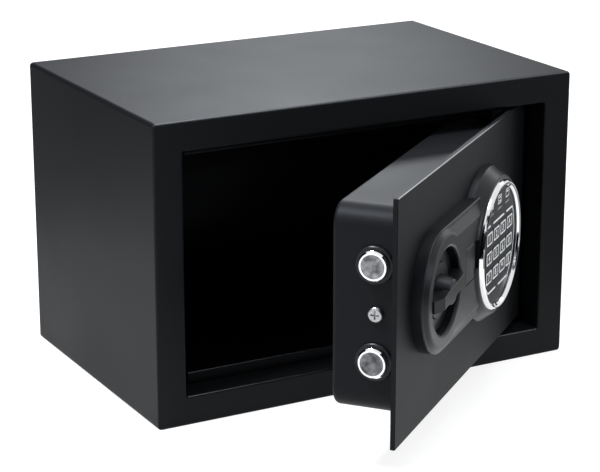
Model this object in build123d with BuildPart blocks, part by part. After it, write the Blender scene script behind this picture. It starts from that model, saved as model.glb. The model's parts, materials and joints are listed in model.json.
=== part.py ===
from build123d import *
import os
from math import asin, atan2, cos, degrees, hypot, radians, sin

os.makedirs("parts", exist_ok=True)

# Home gun safe with an electronic lock, door standing open, millimetres.
# The origin is the middle of the cabinet's underside. +X runs to the hinge side,
# +Y into the cabinet and +Z up.

# Cabinet
width = 310.0
height = 200.0
depth = 200.0
sheet = 2.0
edge_radius = 2.5
bend_radius = 1.5
opening_width = 270.0
opening_height = 161.0
reveal_depth = 19.5
lock_return_depth = 7.0
lip_height = 8.0
lip_lock_end = -124.5
lip_hinge_clearance = 9.0
anchor_hole = 9.0
rear_anchor_spacing = 200.0
rear_anchor_height = 55.0
floor_anchor_spacing = 200.0
floor_anchor_setback = 30.0

# Door
open_angle = 39.45
plate_thickness = 3.0
plate_recess = 1.0
lock_gap = 3.0
hinge_gap = 4.5
top_gap = 2.0
bottom_gap = 4.0
hinge_inset = 30.0
hinge_setback = 13.0
box_sill_gap = 21.4
box_head_gap = 11.8
box_depth = 40.4
box_sheet = 1.5
box_lock_inset = 8.0
box_hinge_inset = 13.5
box_lock_corner = 13.5
box_hinge_corner = 6.0
box_back_radius = 3.0

# Hinge
pin_radius = 3.0
post_radius = 5.5
running_clearance = 0.05
washer_thickness = 0.6
bush_radius = 5.0
bush_flange_height = 3.0
pin_reach = 9.0
pin_chamfer = 0.6

# Bolt work
bolt_radius = 9.5
bolt_length = 40.0
bolt_spacing = 60.0
bolt_setback = 16.4
bolt_protrusion = 4.5
bolt_throw = 15.0
bolt_bush_radius = 11.8
bolt_bush_wall = 1.25
bolt_bush_flange = 1.5
bolt_bush_depth = 7.0
bolt_chamfer = 1.0
carrier_thickness = 3.0
slot_play = 0.5
notch_play = 1.0
slot_sliding_clearance = 0.1
crank_pin_radius = 2.5
cam_radius = 15.0

# Front panel, heights above the door's front face
knob_position = 63.5
keypad_position = 166.3
neck_height = 7.6
neck_radius = 39.2
crest_height = 10.2
crest_radius = 35.0
crest_foot_radius = 38.0
crest_waist = 29.5
crest_foot_waist = 36.5
well_radius = 26.9
well_floor = 1.5
lobe_radius = 51.5
lobe_height = 12.0
lobe_top_radius = 44.6
ring_outer_radius = 43.0
ring_height = 2.6
keypad_radius = 38.5
keypad_face_top = 11.7
keypad_face_thickness = 1.5

# Keys
key_pitch_across = 14.6
key_pitch_up = 13.0
key_width = 12.4
key_height = 8.8
key_drop = 3.2
key_proud = 0.6
key_travel = 0.5
key_gap = 0.25

# Knob
knob_disc_radius = 26.4
knob_grip_length = 36.5
knob_foot_length = 52.0
knob_grip_width = 8.0
knob_top = 15.0
knob_shoulder = 10.7
knob_hub_radius = 18.0
knob_boss_radius = 7.2
knob_boss_top = 14.4
knob_tilt = 6.0
spindle_radius = 4.0

# Key lock behind the cover
cylinder_position = 110.5
cylinder_radius = 6.5
lock_flange_radius = 7.5
lock_flange = 1.4
plug_radius = 4.0
keyway_width = 1.2
keyway_height = 5.6
keyway_depth = 12.0
nut_radius = 9.5
nut_thickness = 3.5
cover_width = 20.0
cover_height = 24.0
cover_rise = 3.0
cover_gap = 0.35
cover_corner = 2.5
cover_wall = 0.85
cover_skin = 2.2

# Solenoid
plunger_position = 84.0
plunger_radius = 3.0
plunger_travel = 4.5
plunger_reach = 18.0
collar_radius = 5.0
collar_thickness = 1.5

# Batteries
cell_radius = 7.1
cell_length = 50.5
cell_pitch = 15.8
cell_count = 4
nub_radius = 2.6
nub_height = 1.2

# Sizes that follow from the ones above
front = -depth / 2
back = depth / 2
opening_left = -opening_width / 2
opening_right = opening_width / 2
opening_bottom = (height - opening_height) / 2
opening_top = opening_bottom + opening_height
plate_left = opening_left + lock_gap
plate_right = opening_right - hinge_gap
plate_width = plate_right - plate_left
plate_bottom = opening_bottom + bottom_gap
plate_top = opening_top - top_gap
plate_height = plate_top - plate_bottom
hinge_x = opening_right - hinge_inset
hinge_y = front + plate_recess + hinge_setback
hinge_u = hinge_x - plate_left
box_left = box_lock_inset
box_right = plate_width - box_hinge_inset
box_bottom = opening_bottom + box_sill_gap
box_top = opening_top - box_head_gap
box_height = box_top - box_bottom
box_middle = (box_top + box_bottom) / 2
lock_height = box_middle
box_back = plate_thickness + box_depth
box_inner_back = box_back - box_sheet
bush_flange_radius = box_right - box_hinge_corner - hinge_u
bolt_heights = [lock_height - bolt_spacing / 2, lock_height + bolt_spacing / 2]
carrier_front = bolt_setback - carrier_thickness / 2
carrier_back = bolt_setback + carrier_thickness / 2
crank_radius = bolt_throw / 2 / sin(radians(45))
crank_offset = bolt_throw / 2

along = Vector(cos(radians(open_angle)), sin(radians(open_angle)), 0)
inward = Vector(-sin(radians(open_angle)), cos(radians(open_angle)), 0)
door_corner = Vector(hinge_x, hinge_y, 0) - along * hinge_u - inward * hinge_setback


def door_point(u, w, z):
    """Point of the open door: u from its lock edge, w behind its front face, z above the floor."""
    return door_corner + along * u + inward * w + Vector(0, 0, z)


def facing(u, w, z):
    """Plane that looks out of the door's front, its x along the door and its y up."""
    return Plane(door_point(u, w, z), x_dir=along, z_dir=-inward)


def edgewise(u, w, z):
    """Plane that looks out of the door's lock edge, its x forwards and its y up."""
    return Plane(door_point(u, w, z), x_dir=-inward, z_dir=-along)


def level(u, w, z):
    """Horizontal plane of the door, its x along the door and its y inwards."""
    return Plane(door_point(u, w, z), x_dir=along, z_dir=(0, 0, 1))


def front_plane(y):
    """Plane of the cabinet that looks forwards, its x across and its y up."""
    return Plane((0, y, 0), x_dir=(1, 0, 0), z_dir=(0, -1, 0))


def door_axis(u, z):
    """Axis that stands square out of the door's front."""
    return Axis(door_point(u, 0, z), -inward)


# ---------------------------------------------------------------- cabinet

with BuildPart() as body_shell:
    with BuildSketch(front_plane(back)):
        with Locations((0, height / 2)):
            RectangleRounded(width, height, edge_radius)
            RectangleRounded(width - 2 * sheet, height - 2 * sheet, edge_radius - sheet, mode=Mode.SUBTRACT)
    extrude(amount=depth - sheet)
    with BuildSketch(Plane.XY):
        with Locations((0, floor_anchor_setback)):
            with GridLocations(floor_anchor_spacing, 0, 2, 1):
                Circle(anchor_hole / 2)
    extrude(amount=sheet, mode=Mode.SUBTRACT)
body_shell.part.label = "body_shell"
export_step(body_shell.part, "parts/body_shell.step")

with BuildPart() as back_panel:
    with BuildSketch(front_plane(back)):
        with Locations((0, height / 2)):
            RectangleRounded(width - 2 * sheet, height - 2 * sheet, edge_radius - sheet)
        with Locations((0, rear_anchor_height)):
            with GridLocations(rear_anchor_spacing, 0, 2, 1):
                Circle(anchor_hole / 2, mode=Mode.SUBTRACT)
    extrude(amount=sheet)
back_panel.part.label = "back_panel"
export_step(back_panel.part, "parts/back_panel.step")

# The frame is one pressing: face, reveal walls and the stiffening lips above and below.
lip_hinge_end = hinge_x - lip_hinge_clearance
lip_run = lip_hinge_end - lip_lock_end
lip_middle = (lip_hinge_end + lip_lock_end) / 2
with BuildPart() as front_frame:
    with BuildSketch(front_plane(front + sheet)):
        with Locations((0, height / 2)):
            RectangleRounded(width, height, edge_radius)
            RectangleRounded(opening_width, opening_height, bend_radius, mode=Mode.SUBTRACT)
    extrude(amount=sheet)
    with BuildSketch(front_plane(front + reveal_depth)):
        with Locations((0, height / 2)):
            RectangleRounded(opening_width + 2 * sheet, opening_height + 2 * sheet, bend_radius + sheet)
            RectangleRounded(opening_width, opening_height, bend_radius, mode=Mode.SUBTRACT)
    extrude(amount=reveal_depth - sheet)
    with BuildSketch(front_plane(front + reveal_depth)):
        with Locations((opening_left - sheet / 2, height / 2)):
            Rectangle(sheet, opening_height - 2 * bend_radius)
    extrude(amount=reveal_depth - lock_return_depth, mode=Mode.SUBTRACT)
    with BuildSketch(front_plane(front + reveal_depth)):
        with Locations((lip_middle, opening_bottom - sheet)):
            Rectangle(lip_run, lip_height + sheet, align=(Align.CENTER, Align.MIN))
        with Locations((lip_middle, opening_top + sheet)):
            Rectangle(lip_run, lip_height + sheet, align=(Align.CENTER, Align.MAX))
    extrude(amount=-sheet)
    lip_edges = front_frame.edges().filter_by(Axis.X).filter_by_position(
        Axis.Y, front + reveal_depth - 0.1, front + reveal_depth + sheet + 0.1
    )
    lip_tips = lip_edges.filter_by_position(
        Axis.Z, opening_bottom + lip_height - 0.1, opening_top - lip_height + 0.1
    )
    fillet(lip_tips, sheet / 2 - 0.1)
    with BuildSketch(Plane.XY.offset(opening_bottom - sheet)):
        with Locations((hinge_x, hinge_y)):
            Circle(pin_radius)
    extrude(amount=opening_height + 2 * sheet, mode=Mode.SUBTRACT)
    fillet(front_frame.faces().sort_by(Axis.Y)[0].edges(), bend_radius)
front_frame.part.label = "front_frame"
export_step(front_frame.part, "parts/front_frame.step")

# ---------------------------------------------------------------- hinge

hinge_spot = (hinge_x, hinge_y)
lower_shoulder = box_bottom - washer_thickness
upper_shoulder = box_top + washer_thickness

with BuildPart() as hinge_post_lower:
    with BuildSketch(Plane.XY.offset(opening_bottom - sheet)):
        with Locations(hinge_spot):
            Circle(pin_radius)
    extrude(amount=lower_shoulder - opening_bottom + sheet + pin_reach)
    with BuildSketch(Plane.XY.offset(opening_bottom)):
        with Locations(hinge_spot):
            Circle(post_radius)
    extrude(amount=lower_shoulder - opening_bottom)
    chamfer(hinge_post_lower.faces().sort_by(Axis.Z)[-1].edges(), pin_chamfer)
hinge_post_lower.part.label = "hinge_post_lower"
export_step(hinge_post_lower.part, "parts/hinge_post_lower.step")

with BuildPart() as hinge_post_upper:
    with BuildSketch(Plane.XY.offset(opening_top + sheet)):
        with Locations(hinge_spot):
            Circle(pin_radius)
    extrude(amount=upper_shoulder - opening_top - sheet - pin_reach)
    with BuildSketch(Plane.XY.offset(opening_top)):
        with Locations(hinge_spot):
            Circle(post_radius)
    extrude(amount=upper_shoulder - opening_top)
    chamfer(hinge_post_upper.faces().sort_by(Axis.Z)[0].edges(), pin_chamfer)
hinge_post_upper.part.label = "hinge_post_upper"
export_step(hinge_post_upper.part, "parts/hinge_post_upper.step")

with BuildPart() as thrust_washer:
    with BuildSketch(Plane.XY.offset(lower_shoulder)):
        with Locations(hinge_spot):
            Circle(post_radius)
            Circle(pin_radius + running_clearance, mode=Mode.SUBTRACT)
    extrude(amount=washer_thickness)
thrust_washer.part.label = "thrust_washer"
export_step(thrust_washer.part, "parts/thrust_washer.step")

with BuildPart() as hinge_bush_lower:
    with BuildSketch(level(hinge_u, hinge_setback, box_bottom)):
        Circle(bush_radius)
    extrude(amount=box_sheet)
    with BuildSketch(level(hinge_u, hinge_setback, box_bottom + box_sheet)):
        Circle(bush_flange_radius)
    extrude(amount=bush_flange_height)
    with BuildSketch(level(hinge_u, hinge_setback, box_bottom)):
        Circle(pin_radius + running_clearance)
    extrude(amount=box_sheet + bush_flange_height, mode=Mode.SUBTRACT)
hinge_bush_lower.part.label = "hinge_bush_lower"
export_step(hinge_bush_lower.part, "parts/hinge_bush_lower.step")

with BuildPart() as hinge_bush_upper:
    with BuildSketch(level(hinge_u, hinge_setback, box_top)):
        Circle(bush_radius)
    extrude(amount=-box_sheet)
    with BuildSketch(level(hinge_u, hinge_setback, box_top - box_sheet)):
        Circle(bush_flange_radius)
    extrude(amount=-bush_flange_height)
    with BuildSketch(level(hinge_u, hinge_setback, box_top)):
        Circle(pin_radius + running_clearance)
    extrude(amount=-box_sheet - bush_flange_height, mode=Mode.SUBTRACT)
hinge_bush_upper.part.label = "hinge_bush_upper"
export_step(hinge_bush_upper.part, "parts/hinge_bush_upper.step")

# ---------------------------------------------------------------- door skin

spindle_bush_radius = 6.0
panel_screw_radius = 2.0
panel_screw_head = 2.4
panel_screw_depth = 5.0
panel_screw_lead = 10.5
panel_screw_rise = 30.0
panel_screws = [
    (knob_position - (neck_radius + well_radius) / 2, lock_height),
    (cylinder_position - panel_screw_lead, lock_height - panel_screw_rise),
    (cylinder_position - panel_screw_lead, lock_height + panel_screw_rise),
    (keypad_position + (lobe_top_radius + keypad_radius) / 2, lock_height),
]
cable_slot = (20.0, 8.0)

with BuildPart() as door_plate:
    with BuildSketch(facing(0, plate_thickness, 0)):
        with Locations((plate_width / 2, (plate_bottom + plate_top) / 2)):
            RectangleRounded(plate_width, plate_height, 1.0)
        with Locations((knob_position, lock_height)):
            Circle(spindle_bush_radius, mode=Mode.SUBTRACT)
        with Locations((cylinder_position, lock_height)):
            Circle(cylinder_radius, mode=Mode.SUBTRACT)
        with Locations((keypad_position, lock_height)):
            Rectangle(*cable_slot, mode=Mode.SUBTRACT)
        with Locations(panel_screws):
            Circle(panel_screw_radius, mode=Mode.SUBTRACT)
    extrude(amount=plate_thickness)
    front_face = door_plate.faces().sort_by(Axis((0, 0, 0), -inward))[-1]
    chamfer(front_face.outer_wire().edges(), 0.5)
door_plate.part.label = "door_plate"
export_step(door_plate.part, "parts/door_plate.step")

screw_setback = 15.3
side_screw_radius = 2.45
battery_middle = 192.0
battery_width = cell_pitch * cell_count + 4.8
battery_height = cell_length + 6.5
lid_width = battery_width - 4.0
lid_height = battery_height - 4.0
lid_gap = 0.3
lid_tab = (16.0, 5.0)
lid_tab_height = 1.0
reset_u = 140.0
reset_z = box_top - 21.0
reset_radius = 3.0
reset_hole = reset_radius + 0.3

with BuildPart() as door_box:
    with BuildSketch(facing(box_left, plate_thickness, box_middle)) as box_outline:
        Rectangle(box_right - box_left, box_height, align=(Align.MIN, Align.CENTER))
        fillet(box_outline.vertices().group_by(Axis.X)[0], box_lock_corner)
        fillet(box_outline.vertices().group_by(Axis.X)[-1], box_hinge_corner)
    extrude(amount=-box_depth)
    box_rear = door_box.faces().sort_by(Axis((0, 0, 0), inward))[-1]
    fillet(box_rear.edges(), box_back_radius)
    with BuildSketch(facing(box_left, plate_thickness, box_middle)) as hollow_outline:
        with Locations((box_sheet, 0)):
            Rectangle(
                box_right - box_left - 2 * box_sheet,
                box_height - 2 * box_sheet,
                align=(Align.MIN, Align.CENTER),
            )
        fillet(hollow_outline.vertices().group_by(Axis.X)[0], box_lock_corner - box_sheet)
        fillet(hollow_outline.vertices().group_by(Axis.X)[-1], box_hinge_corner - box_sheet)
    extrude(amount=box_sheet - box_depth, mode=Mode.SUBTRACT)
    hollow_rear = door_box.faces().filter_by(Axis((0, 0, 0), inward)).sort_by(Axis((0, 0, 0), inward))[-2]
    fillet(hollow_rear.edges(), box_back_radius - box_sheet)
    with BuildSketch(*[edgewise(box_left, bolt_setback, z) for z in bolt_heights]):
        Circle(bolt_radius + bolt_bush_wall)
    extrude(amount=-2 * box_sheet, mode=Mode.SUBTRACT)
    with BuildSketch(edgewise(box_left, screw_setback, lock_height)):
        Circle(side_screw_radius)
    extrude(amount=-2 * box_sheet, mode=Mode.SUBTRACT)
    with BuildSketch(level(hinge_u, hinge_setback, box_bottom)):
        Circle(bush_radius)
    extrude(amount=box_height, mode=Mode.SUBTRACT)
    with BuildSketch(facing(0, box_back, 0)):
        with Locations((battery_middle, lock_height)):
            Rectangle(lid_width, lid_height)
        with Locations((reset_u, reset_z)):
            Circle(reset_hole)
    extrude(amount=2 * box_sheet, mode=Mode.SUBTRACT)
door_box.part.label = "door_box"
export_step(door_box.part, "parts/door_box.step")

# ---------------------------------------------------------------- bolts

bolt_slot_depth = 12.0
bolt_inner_end = box_left - bolt_protrusion + bolt_length
cross_pin_radius = 2.0
cross_pin_u = bolt_inner_end - bolt_slot_depth / 2
bolt_names = ["bolt_lower", "bolt_upper"]
for bolt_name, bolt_z in zip(bolt_names, bolt_heights):
    with BuildPart() as bolt:
        with BuildSketch(edgewise(box_left - bolt_protrusion, bolt_setback, bolt_z)):
            Circle(bolt_radius)
        extrude(amount=-bolt_length)
        chamfer(bolt.faces().sort_by(Axis((0, 0, 0), along))[0].edges(), bolt_chamfer)
        with BuildSketch(edgewise(bolt_inner_end, bolt_setback, bolt_z)):
            Rectangle(carrier_thickness, 2 * bolt_radius + 1)
        extrude(amount=bolt_slot_depth, mode=Mode.SUBTRACT)
        with BuildSketch(facing(cross_pin_u, bolt_setback + bolt_radius, bolt_z)):
            Circle(cross_pin_radius)
        extrude(amount=2 * bolt_radius, mode=Mode.SUBTRACT)
    bolt.part.label = bolt_name
    export_step(bolt.part, f"parts/{bolt_name}.step")

    bush_name = bolt_name.replace("bolt", "bolt_bush")
    with BuildPart() as bolt_bush:
        with BuildSketch(edgewise(box_left, bolt_setback, bolt_z)):
            Circle(bolt_bush_radius)
        extrude(amount=bolt_bush_flange)
        chamfer(bolt_bush.faces().sort_by(Axis((0, 0, 0), along))[0].edges(), 0.5)
        with BuildSketch(edgewise(box_left, bolt_setback, bolt_z)):
            Circle(bolt_radius + bolt_bush_wall)
        extrude(amount=-bolt_bush_depth)
        with BuildSketch(edgewise(box_left + bolt_bush_depth, bolt_setback, bolt_z)):
            Circle(bolt_radius + running_clearance)
        extrude(amount=bolt_bush_depth + bolt_bush_flange, mode=Mode.SUBTRACT)
    bolt_bush.part.label = bush_name
    export_step(bolt_bush.part, f"parts/{bush_name}.step")

with BuildPart() as bolt_cross_pins:
    with BuildSketch(facing(0, bolt_setback + bolt_radius - 0.6, 0)):
        with Locations([(cross_pin_u, z) for z in bolt_heights]):
            Circle(cross_pin_radius)
    extrude(amount=2 * bolt_radius - 1.2)
bolt_cross_pins.part.label = "bolt_cross_pins"
export_step(bolt_cross_pins.part, "parts/bolt_cross_pins.step")

# The carrier is one flat plate: an upright bar with an arm into each bolt, and a tail
# that holds the crank slot, the guide slot and the two notches for the solenoid plunger.
bar_left = bolt_inner_end + 1.5
bar_right = bar_left + 14.0
tail_right = cylinder_position - cylinder_radius - 1.0
tail_bottom = lock_height - 14.5
tail_top = lock_height + 18.5
arm_left = bolt_inner_end - bolt_slot_depth + 0.5
arm_height = 10.0
crank_slot_u = knob_position + crank_offset
crank_slot_low = lock_height + crank_offset - slot_play
crank_slot_high = lock_height + crank_radius + slot_play
crank_slot_width = 2 * (crank_pin_radius + slot_play)
stud_radius = 2.5
stud_u = plunger_position
stud_z = lock_height - 8.5
notch_width = 2 * (plunger_radius + notch_play)
notch_bottom = tail_top - plunger_travel - notch_play

with BuildPart() as bolt_carrier:
    with BuildSketch(facing(0, carrier_back, 0)):
        with Locations((bar_left, lock_height)):
            Rectangle(
                bar_right - bar_left,
                bolt_spacing + arm_height,
                align=(Align.MIN, Align.CENTER),
            )
        with Locations([(arm_left, z) for z in bolt_heights]):
            Rectangle(bar_left - arm_left, arm_height, align=(Align.MIN, Align.CENTER))
        with Locations((bar_right, tail_bottom)):
            Rectangle(tail_right - bar_right, tail_top - tail_bottom, align=Align.MIN)
        with Locations((crank_slot_u, (crank_slot_low + crank_slot_high) / 2)):
            SlotCenterToCenter(
                crank_slot_high - crank_slot_low, crank_slot_width, rotation=90, mode=Mode.SUBTRACT
            )
        with Locations((stud_u + bolt_throw / 2, stud_z)):
            SlotCenterToCenter(
                bolt_throw, 2 * (stud_radius + slot_sliding_clearance), mode=Mode.SUBTRACT
            )
        with Locations((plunger_position, notch_bottom)):
            Rectangle(
                notch_width, tail_top, align=(Align.CENTER, Align.MIN), mode=Mode.SUBTRACT
            )
        with Locations((plunger_position + bolt_throw - notch_width / 2, notch_bottom)):
            Rectangle(notch_width + 10, tail_top, align=Align.MIN, mode=Mode.SUBTRACT)
        with Locations([(cross_pin_u, z) for z in bolt_heights]):
            Circle(cross_pin_radius, mode=Mode.SUBTRACT)
    extrude(amount=carrier_thickness)
bolt_carrier.part.label = "bolt_carrier"
export_step(bolt_carrier.part, "parts/bolt_carrier.step")

with BuildPart() as guide_stud:
    with BuildSketch(facing(stud_u, plate_thickness, stud_z)):
        Circle(stud_radius + 2.0)
    extrude(amount=plate_thickness - carrier_front + 0.4)
    with BuildSketch(facing(stud_u, plate_thickness, stud_z)):
        Circle(stud_radius)
    extrude(amount=plate_thickness - carrier_back - 0.4)
guide_stud.part.label = "guide_stud"
export_step(guide_stud.part, "parts/guide_stud.step")

bracket_flange = 3.0
bracket_width = 20.0
bracket_height = 25.0
arm_reach = 32.0
arm_width = 13.0
arm_thickness = 2.0
bracket_left = box_left + box_sheet
screw_head_radius = 4.8
screw_head_height = 2.8
recess_length = 5.2
recess_width = 1.1
recess_depth = 1.6
with BuildPart() as guide_bracket:
    with BuildSketch(edgewise(bracket_left + bracket_flange, screw_setback, lock_height)):
        Rectangle(bracket_width, bracket_height)
        Circle(side_screw_radius, mode=Mode.SUBTRACT)
    extrude(amount=bracket_flange)
    with BuildSketch(facing(bracket_left + bracket_flange, carrier_front - 0.5, lock_height)):
        Rectangle(arm_reach, arm_width, align=(Align.MIN, Align.CENTER))
    extrude(amount=arm_thickness)
guide_bracket.part.label = "guide_bracket"
export_step(guide_bracket.part, "parts/guide_bracket.step")

with BuildPart() as side_screw:
    with BuildSketch(edgewise(box_left, screw_setback, lock_height)):
        Circle(screw_head_radius)
    extrude(amount=screw_head_height)
    fillet(side_screw.faces().sort_by(Axis((0, 0, 0), along))[0].edges(), 1.5)
    with BuildSketch(edgewise(box_left, screw_setback, lock_height)):
        Circle(side_screw_radius)
    extrude(amount=-box_sheet - bracket_flange)
    with BuildSketch(edgewise(box_left - screw_head_height, screw_setback, lock_height)):
        Rectangle(recess_length, recess_width)
        Rectangle(recess_width, recess_length)
    extrude(amount=-recess_depth, mode=Mode.SUBTRACT)
side_screw.part.label = "side_screw"
export_step(side_screw.part, "parts/side_screw.step")

# ---------------------------------------------------------------- knob and crank

cam_front = 10.0
cam_back = 13.0
knob_bottom = well_floor + 0.5
knob_bore_top = 8.0
bush_shoulder = 2.0
bush_shoulder_radius = spindle_bush_radius + 3.0
cam_hub_radius = spindle_radius + 3.0

with BuildPart() as spindle_bush:
    with BuildSketch(facing(knob_position, 0, lock_height)):
        Circle(spindle_bush_radius)
    extrude(amount=-plate_thickness)
    with BuildSketch(facing(knob_position, plate_thickness, lock_height)):
        Circle(bush_shoulder_radius)
    extrude(amount=-bush_shoulder)
    with BuildSketch(facing(knob_position, 0, lock_height)):
        Circle(spindle_radius + running_clearance)
    extrude(amount=-plate_thickness - bush_shoulder, mode=Mode.SUBTRACT)
spindle_bush.part.label = "spindle_bush"
export_step(spindle_bush.part, "parts/spindle_bush.step")

with BuildPart() as spindle:
    with BuildSketch(facing(knob_position, cam_back, lock_height)):
        Circle(spindle_radius)
    extrude(amount=cam_back + knob_bore_top)
spindle.part.label = "spindle"
export_step(spindle.part, "parts/spindle.step")

with BuildPart() as drive_cam:
    with BuildSketch(facing(knob_position, cam_back, lock_height)):
        Circle(cam_radius)
    extrude(amount=cam_back - cam_front)
    with BuildSketch(facing(knob_position, cam_front, lock_height)):
        Circle(cam_hub_radius)
    extrude(amount=cam_front - plate_thickness - bush_shoulder - 0.5)
    with BuildSketch(facing(knob_position + crank_offset, cam_back, lock_height + crank_offset)):
        Circle(crank_pin_radius)
    extrude(amount=cam_back - carrier_back - 1.0)
    with BuildSketch(facing(knob_position, cam_back, lock_height)):
        Circle(spindle_radius)
    extrude(amount=cam_back - plate_thickness, mode=Mode.SUBTRACT)
drive_cam.part.label = "drive_cam"
export_step(drive_cam.part, "parts/drive_cam.step")

# The grip is a rib across the disc, its ends sloping down to a shoulder near the well's wall.
disc_edge = knob_bottom + 1.6
disc_top = knob_bottom + 2.4
hub_top = disc_top + 1.0
grip_dir = along * cos(radians(knob_tilt)) + Vector(0, 0, sin(radians(knob_tilt)))
grip_plane = Plane(
    door_point(knob_position, 0, lock_height), x_dir=grip_dir, z_dir=grip_dir.cross(-inward)
)

with BuildPart() as knob:
    with BuildSketch(level(knob_position, 0, lock_height)):
        with BuildLine():
            Polyline(
                (0, -knob_bottom),
                (knob_disc_radius, -knob_bottom),
                (knob_disc_radius, -disc_edge),
                (knob_disc_radius - 1.0, -disc_top),
                (knob_hub_radius, -disc_top),
                (knob_hub_radius - 0.6, -hub_top),
                (knob_boss_radius + 3.5, -hub_top),
                (knob_boss_radius + 0.6, -knob_boss_top + 0.6),
                (knob_boss_radius, -knob_boss_top),
                (0, -knob_boss_top),
                close=True,
            )
        make_face()
    revolve(axis=door_axis(knob_position, lock_height))
    with BuildSketch(grip_plane):
        with BuildLine():
            Polyline(
                (-knob_foot_length / 2 + 0.4, disc_edge),
                (knob_foot_length / 2 - 0.4, disc_edge),
                (knob_foot_length / 2, knob_shoulder),
                (knob_grip_length / 2, knob_top),
                (-knob_grip_length / 2, knob_top),
                (-knob_foot_length / 2, knob_shoulder),
                close=True,
            )
        make_face()
    extrude(amount=knob_grip_width / 2, both=True)
    fillet(knob.faces().sort_by(Axis((0, 0, 0), -inward))[-1].edges(), 0.7)
    with BuildSketch(facing(knob_position, -knob_bottom, lock_height)):
        Circle(spindle_radius)
    extrude(amount=knob_bore_top - knob_bottom, mode=Mode.SUBTRACT)
knob.part.label = "knob"
export_step(knob.part, "parts/knob.step")

# ---------------------------------------------------------------- front panel

cover_floor = 2.8
cover_middle = lock_height + cover_rise
finger_left = cylinder_position + cover_width / 2
finger_width = 4.0
finger_height = 18.0
finger_rise = 3.0
finger_floor = 4.8
board_radius = keypad_radius - 1.5
board_top = 8.7
board_thickness = 1.6
face_bottom = keypad_face_top - keypad_face_thickness
throat_radius = keypad_radius - 2.6
seat_radius = keypad_radius + 0.1

with BuildPart() as escutcheon:
    with BuildSketch(facing(0, 0, 0)):
        with Locations((knob_position, lock_height)):
            Circle(neck_radius)
            Rectangle(
                keypad_position - knob_position, 2 * neck_radius, align=(Align.MIN, Align.CENTER)
            )
    extrude(amount=neck_height)
    neck_top = escutcheon.faces().sort_by(Axis((0, 0, 0), -inward))[-1]
    fillet(neck_top.edges(), 1.0)
    # Raised face that runs from round the well to the keypad, sloping at its sides
    with BuildSketch(edgewise(knob_position, 0, lock_height)):
        Polygon(
            (neck_height, -crest_foot_waist),
            (neck_height + 0.6, -crest_foot_waist + 2.2),
            (crest_height - 0.5, -crest_waist - 1.8),
            (crest_height, -crest_waist),
            (crest_height, crest_waist),
            (crest_height - 0.5, crest_waist + 1.8),
            (neck_height + 0.6, crest_foot_waist - 2.2),
            (neck_height, crest_foot_waist),
            align=None,
        )
    extrude(amount=knob_position - keypad_position)
    with BuildSketch(level(keypad_position, 0, lock_height)):
        with BuildLine():
            Polyline(
                (0, 0),
                (lobe_radius, 0),
                (lobe_radius - 0.4, -4.2),
                (lobe_radius - 1.6, -5.6),
                (lobe_top_radius + 0.7, -lobe_height + 0.6),
                (lobe_top_radius - 0.3, -lobe_height),
                (0, -lobe_height),
                close=True,
            )
        make_face()
    revolve(axis=door_axis(keypad_position, lock_height))
    with BuildSketch(level(knob_position, 0, lock_height)):
        with BuildLine():
            Polyline(
                (0, 0),
                (crest_foot_radius, 0),
                (crest_foot_radius, -neck_height),
                (crest_radius + 0.6, -crest_height + 0.4),
                (crest_radius - 0.6, -crest_height),
                (0, -crest_height),
                close=True,
            )
        make_face()
    revolve(axis=door_axis(knob_position, lock_height))
    # Well of the knob, with a rolled lip
    with BuildSketch(level(knob_position, 0, lock_height)):
        with BuildLine():
            Polyline(
                (0, -well_floor),
                (well_radius, -well_floor),
                (well_radius, -crest_height + 1.8),
                (well_radius + 0.5, -crest_height + 0.6),
                (well_radius + 1.9, -crest_height),
                (well_radius + 1.9, -crest_height - 1.0),
                (0, -crest_height - 1.0),
                close=True,
            )
        make_face()
    revolve(axis=door_axis(knob_position, lock_height), mode=Mode.SUBTRACT)
    with BuildSketch(facing(knob_position, 0, lock_height)):
        Circle(spindle_bush_radius - 1.0)
    extrude(amount=well_floor, mode=Mode.SUBTRACT)
    # Seat of the key cover, the finger notch beside it and the lock's hole
    with BuildSketch(facing(0, -cover_floor, 0)):
        with Locations((cylinder_position, cover_middle)):
            RectangleRounded(cover_width, cover_height, cover_corner)
    extrude(amount=lobe_height, mode=Mode.SUBTRACT)
    with BuildSketch(facing(0, -finger_floor, 0)):
        with Locations((finger_left, cover_middle + finger_rise)):
            Rectangle(2 * finger_width, finger_height)
    extrude(amount=lobe_height, mode=Mode.SUBTRACT)
    with BuildSketch(facing(cylinder_position, 0, lock_height)):
        Circle(lock_flange_radius + 0.3)
    extrude(amount=cover_floor, mode=Mode.SUBTRACT)
    # Pocket of the keypad board, throat under the keys and seat of the keypad face
    with BuildSketch(facing(keypad_position, 0, lock_height)):
        Circle(board_radius + 0.2)
    extrude(amount=board_top, mode=Mode.SUBTRACT)
    with BuildSketch(facing(keypad_position, -board_top, lock_height)):
        Circle(throat_radius)
    extrude(amount=lobe_height, mode=Mode.SUBTRACT)
    with BuildSketch(facing(keypad_position, -face_bottom, lock_height)):
        Circle(seat_radius)
    extrude(amount=lobe_height, mode=Mode.SUBTRACT)
    with BuildSketch(facing(0, 0, 0)):
        with Locations(panel_screws):
            Circle(panel_screw_radius)
    extrude(amount=panel_screw_depth, mode=Mode.SUBTRACT)
escutcheon.part.label = "escutcheon"
export_step(escutcheon.part, "parts/escutcheon.step")

with BuildPart() as panel_screw_set:
    with BuildSketch(facing(0, plate_thickness, 0)):
        with Locations(panel_screws):
            Circle(2 * panel_screw_radius)
    extrude(amount=-panel_screw_head)
    with BuildSketch(facing(0, plate_thickness, 0)):
        with Locations(panel_screws):
            Circle(panel_screw_radius)
    extrude(amount=plate_thickness + panel_screw_depth - 0.5)
panel_screw_set.part.label = "panel_screws"
export_step(panel_screw_set.part, "parts/panel_screws.step")

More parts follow.
